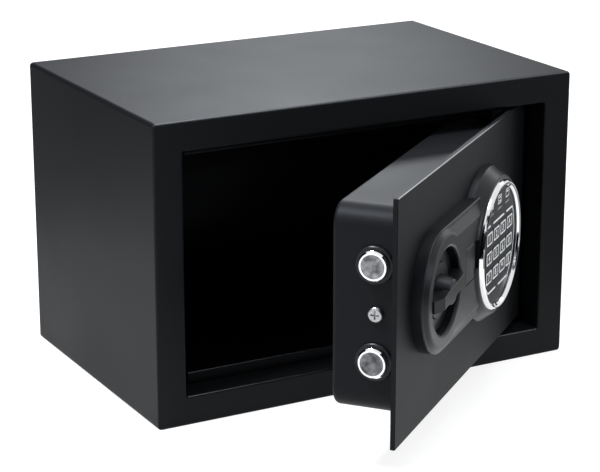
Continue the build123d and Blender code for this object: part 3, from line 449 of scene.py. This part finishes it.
def arc_shape(radius, start, end, centre, line):
    """A printed line that follows a circle from one angle to another, in degrees."""
    shape = bmesh.new()
    outer = shape.verts.new((radius + line / 2, 0, 0))
    inner = shape.verts.new((radius - line / 2, 0, 0))
    edge = shape.edges.new((outer, inner))
    turned = Matrix.Rotation(math.radians(start), 3, "Z")
    bmesh.ops.rotate(shape, verts=list(shape.verts), cent=(0, 0, 0), matrix=turned)
    sweep = {"cent": (0, 0, 0), "axis": (0, 0, 1), "angle": math.radians(end - start), "steps": 24}
    bmesh.ops.spin(shape, geom=[outer, inner, edge], use_merge=False, **sweep)
    bmesh.ops.translate(shape, vec=(centre.x, centre.y, 0), verts=list(shape.verts))
    return shape


def text_shape(words, height, centre):
    """Flat lettering of a real height, centred on a point."""
    curve = bpy.data.curves.new("lettering", "FONT")
    curve.body = words
    curve.align_x = "CENTER"
    curve.align_y = "CENTER"
    # A capital is about 0.7 of the type size.
    curve.size = height / 0.7
    curve.resolution_u = 6
    curve.offset = height * 0.03
    carrier = bpy.data.objects.new("lettering", curve)
    bpy.context.scene.collection.objects.link(carrier)
    bpy.context.view_layer.update()
    mesh_data = bpy.data.meshes.new_from_object(carrier.evaluated_get(bpy.context.evaluated_depsgraph_get()))
    shape = bmesh.new()
    shape.from_mesh(mesh_data)
    bmesh.ops.remove_doubles(shape, verts=list(shape.verts), dist=0.01 * MM)
    middle_x = (min(v.co.x for v in shape.verts) + max(v.co.x for v in shape.verts)) / 2
    middle_y = (min(v.co.y for v in shape.verts) + max(v.co.y for v in shape.verts)) / 2
    shift = (centre.x - middle_x, centre.y - middle_y, 0)
    bmesh.ops.translate(shape, vec=shift, verts=list(shape.verts))
    bpy.data.objects.remove(carrier)
    bpy.data.meshes.remove(mesh_data)
    bpy.data.curves.remove(curve)
    return shape


# ------------------------------------------------------------------ settings


class SafeFinishSettings(bpy.types.PropertyGroup):
    """Colours and gloss of the safe's surfaces."""

    coat: FloatVectorProperty(
        name="Powder coat",
        description="Colour of the steel's powder coat",
        subtype="COLOR",
        size=4,
        default=linear("#111214"),
    )
    coat_roughness: FloatProperty(
        name="Coat roughness", description="Roughness of the powder coat", default=0.5, min=0.1, max=1.0
    )
    panel: FloatVectorProperty(
        name="Panel",
        description="Colour of the moulded front panel",
        subtype="COLOR",
        size=4,
        default=linear("#151618"),
    )
    panel_roughness: FloatProperty(
        name="Panel roughness", description="Roughness of the moulded panel", default=0.32, min=0.1, max=1.0
    )
    keypad: FloatVectorProperty(
        name="Keypad face",
        description="Colour of the keypad's face",
        subtype="COLOR",
        size=4,
        default=linear("#26282b"),
    )
    ink: FloatVectorProperty(
        name="Print",
        description="Colour of the printed lines and numbers",
        subtype="COLOR",
        size=4,
        default=linear("#f1f2f2"),
    )
    chrome: FloatVectorProperty(
        name="Chrome",
        description="Colour of the bright plated pieces",
        subtype="COLOR",
        size=4,
        default=linear("#e3e4e6"),
    )


class SafePrintSettings(bpy.types.PropertyGroup):
    """Sizes of what is printed on the keypad."""

    key_line: FloatProperty(
        name="Key line", description="Width of the outline on a key", default=0.95 * MM, unit="LENGTH"
    )
    key_margin: FloatProperty(
        name="Key margin",
        description="Bare rim between a key's edge and its outline",
        default=0.35 * MM,
        unit="LENGTH",
    )
    digit_height: FloatProperty(
        name="Digit height", description="Height of a key's number", default=4.2 * MM, unit="LENGTH"
    )
    border_radius: FloatProperty(
        name="Border radius",
        description="Radius of the border beside the keys",
        default=34.8 * MM,
        unit="LENGTH",
    )
    border_line: FloatProperty(
        name="Border line", description="Width of the border's side lines", default=0.85 * MM, unit="LENGTH"
    )
    dash_line: FloatProperty(
        name="Dash line", description="Width of the border's dashes", default=1.3 * MM, unit="LENGTH"
    )


class SafeStageSettings(bpy.types.PropertyGroup):
    """Floor, light and camera."""

    floor_size: FloatProperty(
        name="Floor size", description="Side of the floor", default=9.0, unit="LENGTH"
    )
    camera_place: FloatVectorProperty(
        name="Camera place",
        description="Place of the camera",
        subtype="TRANSLATION",
        unit="LENGTH",
        default=(-0.66366, -1.21487, 0.50643),
    )
    camera_yaw: FloatProperty(
        name="Camera yaw",
        description="Turn of the camera to the right of straight ahead",
        subtype="ANGLE",
        default=math.radians(28.707),
    )
    camera_pitch: FloatProperty(
        name="Camera pitch",
        description="Tilt of the camera below level",
        subtype="ANGLE",
        default=math.radians(17.137),
    )
    camera_lens: FloatProperty(
        name="Lens", description="Focal length on a 36 mm wide sensor", default=124.7, min=10.0, max=400.0
    )


# ------------------------------------------------------------------ operators


class SAFE_OT_coat_steel(bpy.types.Operator):
    """Powder coats the cabinet, the door and the hinge posts"""

    bl_idname = "safe.coat_steel"
    bl_label = "Coat Steel"

    def execute(self, context):
        finish = context.scene.safe_finish
        coat = powder_coat("black_powder_coat", tuple(finish.coat), finish.coat_roughness)
        dress(coat, "body_shell", "back_panel", "door_box", "hinge_post_lower", "hinge_post_upper")
        plate = powder_coat("black_powder_coat_plate", tuple(finish.coat), finish.coat_roughness)
        # The plate's top chamfer, facing out and up, gets a painted highlight line.
        dress(painted_edge_highlight(plate, OUTWARD + UP), "door_plate")
        frame_coat = powder_coat("black_powder_coat_frame", tuple(finish.coat), finish.coat_roughness)
        # The frame's bends that face forward and up, the sill's front edge among them, get a painted
        # highlight line.
        forward_and_up = Vector((0, -0.7, 0.7))
        dress(painted_edge_highlight(frame_coat, forward_and_up), "front_frame")
        return {"FINISHED"}


class SAFE_OT_mould_plastics(bpy.types.Operator):
    """Gives the panel, the knob, the bushes and the battery parts their moulded finish"""

    bl_idname = "safe.mould_plastics"
    bl_label = "Mould Plastics"

    def execute(self, context):
        finish = context.scene.safe_finish
        panel = moulded_plastic("satin_abs_panel", tuple(finish.panel), finish.panel_roughness)
        dress(panel, "escutcheon", "knob", "key_cover")
        nylon = moulded_plastic("black_nylon", linear("#17181a"), 0.36, grain_mm=0.6, depth_mm=0.01)
        dress(nylon, "bolt_bush_lower", "bolt_bush_upper", "hinge_bush_lower", "hinge_bush_upper")
        dress(nylon, "spindle_bush", "thrust_washer")
        tray = moulded_plastic("black_abs", linear("#232426"), 0.5, grain_mm=0.8, depth_mm=0.015)
        dress(tray, "battery_tray", "battery_lid", "reset_housing")
        red = moulded_plastic("red_abs", linear("#b3201c"), 0.3, grain_mm=0.8, depth_mm=0.004)
        dress(red, "reset_button")
        sheet = {"grain_mm": 0.4, "depth_mm": 0.008, "ior": 1.58, "gloss": 0.12}
        face = moulded_plastic("keypad_polycarbonate", tuple(finish.keypad), 0.34, **sheet)
        dress(face, "keypad_face")
        rubber = silicone_rubber("key_silicone", linear("#3a3c3f"), 0.55)
        dress(rubber, *KEY_LEGENDS)
        dress(clear_window("window_polycarbonate", linear("#77797c"), 0.2), "indicator_windows")
        return {"FINISHED"}


class SAFE_OT_plate_fittings(bpy.types.Operator):
    """Plates the bolts, the ring, the screws and the lock work, and finishes the pieces inside the door"""

    bl_idname = "safe.plate_fittings"
    bl_label = "Plate Fittings"

    def execute(self, context):
        finish = context.scene.safe_finish
        bright = tuple(finish.chrome)
        dress(chrome("bright_chrome", bright, 0.09), "keypad_ring", "solenoid_plunger", "key_domes")
        dress(chrome("plated_screw", linear("#a4a5a8"), 0.26, pits_mm=0.7), "side_screw")
        # The scuffs stop this far inside the bar's skin, short of its bright chamfer.
        bright_rim = 2.1 * MM
        for name, worn in (("bolt_lower", "#646568"), ("bolt_upper", "#7d7e81")):
            low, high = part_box(name)
            box_low, box_high = door_box(name)
            face_radius = (box_high.y - box_low.y) / 2 - bright_rim
            tones = (linear("#e8e9ea"), linear(worn))
            steel = turned_steel(f"chromed_{name}", *tones, (low + high) / 2, DOOR_TURN, face_radius)
            dress(steel, name)
        zinc = zinc_plate("zinc_plated_steel", linear("#b9bcbf"), 0.36)
        dress(zinc, "bolt_carrier", "bolt_cross_pins", "guide_stud", "guide_bracket", "spindle", "drive_cam")
        dress(zinc, "panel_screws", "lock_nut", "lock_lever", "solenoid_frame")
        dress(turned_brass("turned_brass", linear("#c9a760"), 0.26), "lock_cylinder", "lock_plug")
        dress(winding_tape("coil_tape", linear("#b7791f"), 0.3), "solenoid_coil")
        dress(circuit_board("circuit_board", linear("#1d5a31"), 0.25), "keypad_board")
        dress(cell_jacket("cell_jacket", linear("#202226"), linear("#b98a4b"), 0.28), "battery_cells")
        return {"FINISHED"}


class SAFE_OT_print_keys(bpy.types.Operator):
    """Prints an outline and a character on each key"""

    bl_idname = "safe.print_keys"
    bl_label = "Print Keys"

    def execute(self, context):
        settings = context.scene.safe_print
        ink = printed_ink("white_ink", tuple(context.scene.safe_finish.ink))
        for node, words in KEY_LEGENDS.items():
            low, high = door_box(node)
            centre = door_centre(node)
            # The key's skirt stands 0.4 mm out all round, under the keypad's face.
            skirt = 0.4 * MM
            corner = 0.9 * MM
            width = high.x - low.x - 2 * (skirt + settings.key_margin)
            height = high.y - low.y - 2 * (skirt + settings.key_margin)
            shapes = [
                outline_shape(width, height, centre, corner, settings.key_line),
                text_shape(words, settings.digit_height, centre),
            ]
            mesh_data = print_mesh(f"legend_{node}", shapes, centre.z)
            body = node.replace("key", "button")
            new_piece(f"legend_{node}", mesh_data, ink, body)
        return {"FINISHED"}


class SAFE_OT_print_keypad(bpy.types.Operator):
    """Prints the border and the symbols on the keypad's face"""

    bl_idname = "safe.print_keypad"
    bl_label = "Print Keypad"

    def execute(self, context):
        settings = context.scene.safe_print
        ink = bpy.data.materials["white_ink"]
        centre = door_centre("keypad_face")
        radius = settings.border_radius
        # The border's level dashes, from the keypad's middle: two heights, and where each starts and ends.
        top, bottom = 17.8 * MM, -27.5 * MM
        top_angle = math.degrees(math.asin(top / radius))
        bottom_angle = math.degrees(math.asin(bottom / radius))
        top_reach = math.sqrt(radius**2 - top**2)
        bottom_reach = math.sqrt(radius**2 - bottom**2)
        dashes = [
            (-top_reach, -19.0 * MM, top),
            (-13.0 * MM, 11.0 * MM, top),
            (16.0 * MM, top_reach, top),
            (-bottom_reach, -5.0 * MM, bottom),
            (1.0 * MM, bottom_reach, bottom),
        ]
        line = settings.border_line
        shapes = [
            bar_shape(centre.x + low, centre.x + high, centre.y + level, settings.dash_line)
            for low, high, level in dashes
        ]
        shapes.append(arc_shape(radius, bottom_angle, top_angle, centre, line))
        shapes.append(arc_shape(radius, 180 - top_angle, 180 - bottom_angle, centre, line))
        frame_pitch = 17.4 * MM
        frame_rise = 30.5 * MM
        # One level bar low in the left frame, two in the middle one and one high in the right.
        for place, levels in ((-1, (-1.0,)), (0, (-1.1, 1.1)), (1, (1.0,))):
            spot = Vector((centre.x + place * frame_pitch, centre.y + frame_rise))
            shapes.extend(self.symbol(spot, levels))
        mesh_data = print_mesh("keypad_print", shapes, centre.z)
        new_piece("keypad_print", mesh_data, ink, "door")
        return {"FINISHED"}

    def symbol(self, spot, levels):
        """A small frame with level bars, each so many millimetres above the frame's middle."""
        width, height, corner, line = 7.6 * MM, 5.8 * MM, 0.8 * MM, 0.7 * MM
        bar_reach, bar = 2.0 * MM, 0.9 * MM
        bars = [bar_shape(spot.x - bar_reach, spot.x + bar_reach, spot.y + row * MM, bar) for row in levels]
        return [outline_shape(width, height, spot, corner, line), *bars]


class SAFE_OT_stage(bpy.types.Operator):
    """Sets the floor, the studio light, the camera and the view"""

    bl_idname = "safe.stage"
    bl_label = "Set Stage"

    def execute(self, context):
        settings = context.scene.safe_stage
        self.floor(settings)
        self.flags()
        self.world(context)
        self.lamps(context)
        self.camera(context, settings)
        context.scene.view_settings.view_transform = "Standard"
        return {"FINISHED"}

    def floor(self, settings):
        """A plain white floor that keeps a soft shadow."""
        sheet = bmesh.new()
        bmesh.ops.create_grid(sheet, x_segments=1, y_segments=1, size=settings.floor_size / 2)
        mesh_data = bpy.data.meshes.new("floor")
        sheet.to_mesh(mesh_data)
        sheet.free()
        floor = bpy.data.objects.new("floor", mesh_data)
        bpy.context.scene.collection.objects.link(floor)
        material = bpy.data.materials.new("floor_paper")
        material.use_nodes = True
        tree = material.node_tree
        tree.nodes.clear()
        # Grey paper bounces the light up. The eye sees it glow to white, and still take the shadow.
        unseen = add_node(tree, "ShaderNodeBsdfDiffuse", inputs={"Color": (0.42, 0.42, 0.43, 1)})
        paper = add_node(tree, "ShaderNodeBsdfDiffuse", inputs={"Color": (0.34, 0.34, 0.34, 1)})
        glow = add_node(tree, "ShaderNodeEmission", inputs={"Color": WHITE, "Strength": 0.8})
        seen = add_node(tree, "ShaderNodeAddShader", {0: paper.outputs[0], 1: glow.outputs[0]})
        ways = {0: self.backdrop_ray(tree), 1: unseen.outputs[0], 2: seen.outputs[0]}
        both = add_node(tree, "ShaderNodeMixShader", ways)
        add_node(tree, "ShaderNodeOutputMaterial", {"Surface": both.outputs[0]})
        mesh_data.materials.append(material)

    def backdrop_ray(self, tree):
        """One for a ray that shows the backdrop: straight, mirrored or seen through glass."""
        path = add_node(tree, "ShaderNodeLightPath")
        pair = {0: path.outputs["Is Camera Ray"], 1: path.outputs["Is Glossy Ray"]}
        shown = add_node(tree, "ShaderNodeMath", pair, operation="MAXIMUM").outputs[0]
        pair = {0: shown, 1: path.outputs["Is Transmission Ray"]}
        return add_node(tree, "ShaderNodeMath", pair, operation="MAXIMUM").outputs[0]

    def flags(self):
        """Cards that the camera doesn't see. The reflector cards are there for shiny skins alone."""
        upright = (math.pi / 2, 0, 0)
        sideways = (math.pi / 2, 0, math.pi / 2)
        flat = (0, 0, 0)
        # Place, size, turn and glow. A card without glow is black.
        cards = {
            "flag_front": ((-0.6, -2.6, 1.3), (4.4, 2.6), upright, 0.0),
            "flag_left": ((-2.6, -0.9, 1.3), (3.4, 2.6), sideways, 0.0),
            "reflector_back": ((0.6, 1.7, 1.0), (4.4, 2.0), upright, 0.0),
            "reflector_right": ((0.36, 0.1, 0.003), (0.28, 1.8), flat, 0.32),
            "reflector_far": ((1.09, 0.1, 0.003), (1.18, 1.8), flat, 0.85),
            "reflector_side": ((-0.96, 0.34, 0.4), (1.5, 0.8), upright, 0.0),
            "reflector_front": ((0.45, -0.66, 0.25), (1.5, 0.5), upright, 0.0),
        }
        for name, (place, size, turn, glow) in cards.items():
            material = bpy.data.materials.new(name)
            material.use_nodes = True
            tree = material.node_tree
            tree.nodes.clear()
            cloth = add_node(tree, "ShaderNodeEmission", inputs={"Color": WHITE, "Strength": glow})
            add_node(tree, "ShaderNodeOutputMaterial", {"Surface": cloth.outputs[0]})
            sheet = bmesh.new()
            bmesh.ops.create_grid(sheet, x_segments=1, y_segments=1, size=0.5)
            bmesh.ops.scale(sheet, vec=(*size, 1), verts=list(sheet.verts))
            mesh_data = bpy.data.meshes.new(name)
            sheet.to_mesh(mesh_data)
            sheet.free()
            mesh_data.materials.append(material)
            card = bpy.data.objects.new(name, mesh_data)
            card.location = place
            card.rotation_euler = turn
            card.visible_camera = False
            for_shine = name.startswith("reflector")
            card.visible_glossy = for_shine or name == "flag_front"
            card.visible_diffuse = not for_shine
            card.visible_shadow = not for_shine
            bpy.context.scene.collection.objects.link(card)

    def world(self, context):
        """A white room behind and above the safe, dim on the side that its door faces."""
        world = bpy.data.worlds.new("studio")
        context.scene.world = world
        world.use_nodes = True
        tree = world.node_tree
        tree.nodes.clear()
        direction = add_node(tree, "ShaderNodeTexCoord").outputs["Generated"]
        bright_side = {1: Vector((0.35, 0.75, 0.55)).normalized()}
        facing = add_node(tree, "ShaderNodeVectorMath", {0: direction}, bright_side, operation="DOT_PRODUCT")
        spread = {"From Min": -0.7, "From Max": 0.6, "To Min": 0.06, "To Max": 1.0}
        strength = add_node(tree, "ShaderNodeMapRange", {"Value": facing.outputs["Value"]}, spread)
        room = add_node(tree, "ShaderNodeBackground", {"Strength": strength.outputs["Result"]})
        room.inputs["Color"].default_value = WHITE
        white = add_node(tree, "ShaderNodeBackground", inputs={"Color": WHITE, "Strength": 1.0})
        ways = {0: self.backdrop_ray(tree), 1: room.outputs[0], 2: white.outputs[0]}
        both = add_node(tree, "ShaderNodeMixShader", ways)
        add_node(tree, "ShaderNodeOutputWorld", {"Surface": both.outputs[0]})

    def lamps(self, context):
        """Soft boxes above, behind, in front and to the right, aimed at the middle of the safe."""
        aim = Vector((0.0, 0.0, 0.1))
        daylight = (0.94, 0.97, 1.0)
        # Place, size and power in watts.
        boxes = {
            "softbox_above": ((0.2, -0.1, 1.4), (1.0, 0.5), 7.0),
            "softbox_corner": ((-0.55, -0.1, 0.95), (0.16, 0.16), 12.0),
            "softbox_back": ((0.66, 1.2, 1.0), (0.4, 0.25), 9.5),
            "softbox_strip": ((0.42, -1.15, 0.64), (0.2, 0.2), 5.0),
            "softbox_right": ((1.1, 0.2, 0.62), (0.3, 0.25), 0.7),
        }
        for name, (place, size, power) in boxes.items():
            lamp = bpy.data.lights.new(name, "AREA")
            lamp.shape = "RECTANGLE"
            lamp.size, lamp.size_y = size
            lamp.energy = power
            lamp.color = daylight
            carrier = bpy.data.objects.new(name, lamp)
            carrier.location = place
            carrier.rotation_euler = (aim - Vector(place)).to_track_quat("-Z", "Y").to_euler()
            context.scene.collection.objects.link(carrier)

    def camera(self, context, settings):
        """A long lens, to the left of the door and a little above it."""
        camera = bpy.data.cameras.new("camera")
        camera.sensor_fit = "HORIZONTAL"
        camera.sensor_width = 36.0
        camera.lens = settings.camera_lens
        camera.clip_start = 0.05
        camera.clip_end = 50.0
        carrier = bpy.data.objects.new("camera", camera)
        carrier.location = settings.camera_place
        carrier.rotation_euler = (math.pi / 2 - settings.camera_pitch, 0, -settings.camera_yaw)
        context.scene.collection.objects.link(carrier)
        context.scene.camera = carrier


class SAFE_PT_panel(bpy.types.Panel):
    """Lists the steps that finish the safe"""

    bl_label = "Gun Safe"
    bl_idname = "SAFE_PT_panel"
    bl_space_type = "VIEW_3D"
    bl_region_type = "UI"
    bl_category = "Gun Safe"

    def draw(self, context):
        for settings in (context.scene.safe_finish, context.scene.safe_print, context.scene.safe_stage):
            column = self.layout.column()
            for name in settings.__annotations__:
                column.prop(settings, name)
        for operator in OPERATORS:
            self.layout.operator(operator.bl_idname)


OPERATORS = (
    SAFE_OT_coat_steel,
    SAFE_OT_mould_plastics,
    SAFE_OT_plate_fittings,
    SAFE_OT_print_keys,
    SAFE_OT_print_keypad,
    SAFE_OT_stage,
)
SETTINGS = {
    "safe_finish": SafeFinishSettings,
    "safe_print": SafePrintSettings,
    "safe_stage": SafeStageSettings,
}


def register():
    for cls in (*SETTINGS.values(), *OPERATORS, SAFE_PT_panel):
        bpy.utils.register_class(cls)
    for name, cls in SETTINGS.items():
        setattr(bpy.types.Scene, name, PointerProperty(type=cls))


def unregister():
    for name in SETTINGS:
        delattr(bpy.types.Scene, name)
    for cls in (SAFE_PT_panel, *reversed(OPERATORS), *reversed(SETTINGS.values())):
        bpy.utils.unregister_class(cls)


def main():
    register()
    bpy.ops.safe.coat_steel()
    bpy.ops.safe.mould_plastics()
    bpy.ops.safe.plate_fittings()
    bpy.ops.safe.print_keys()
    bpy.ops.safe.print_keypad()
    bpy.ops.safe.stage()


if __name__ == "__main__":
    main()
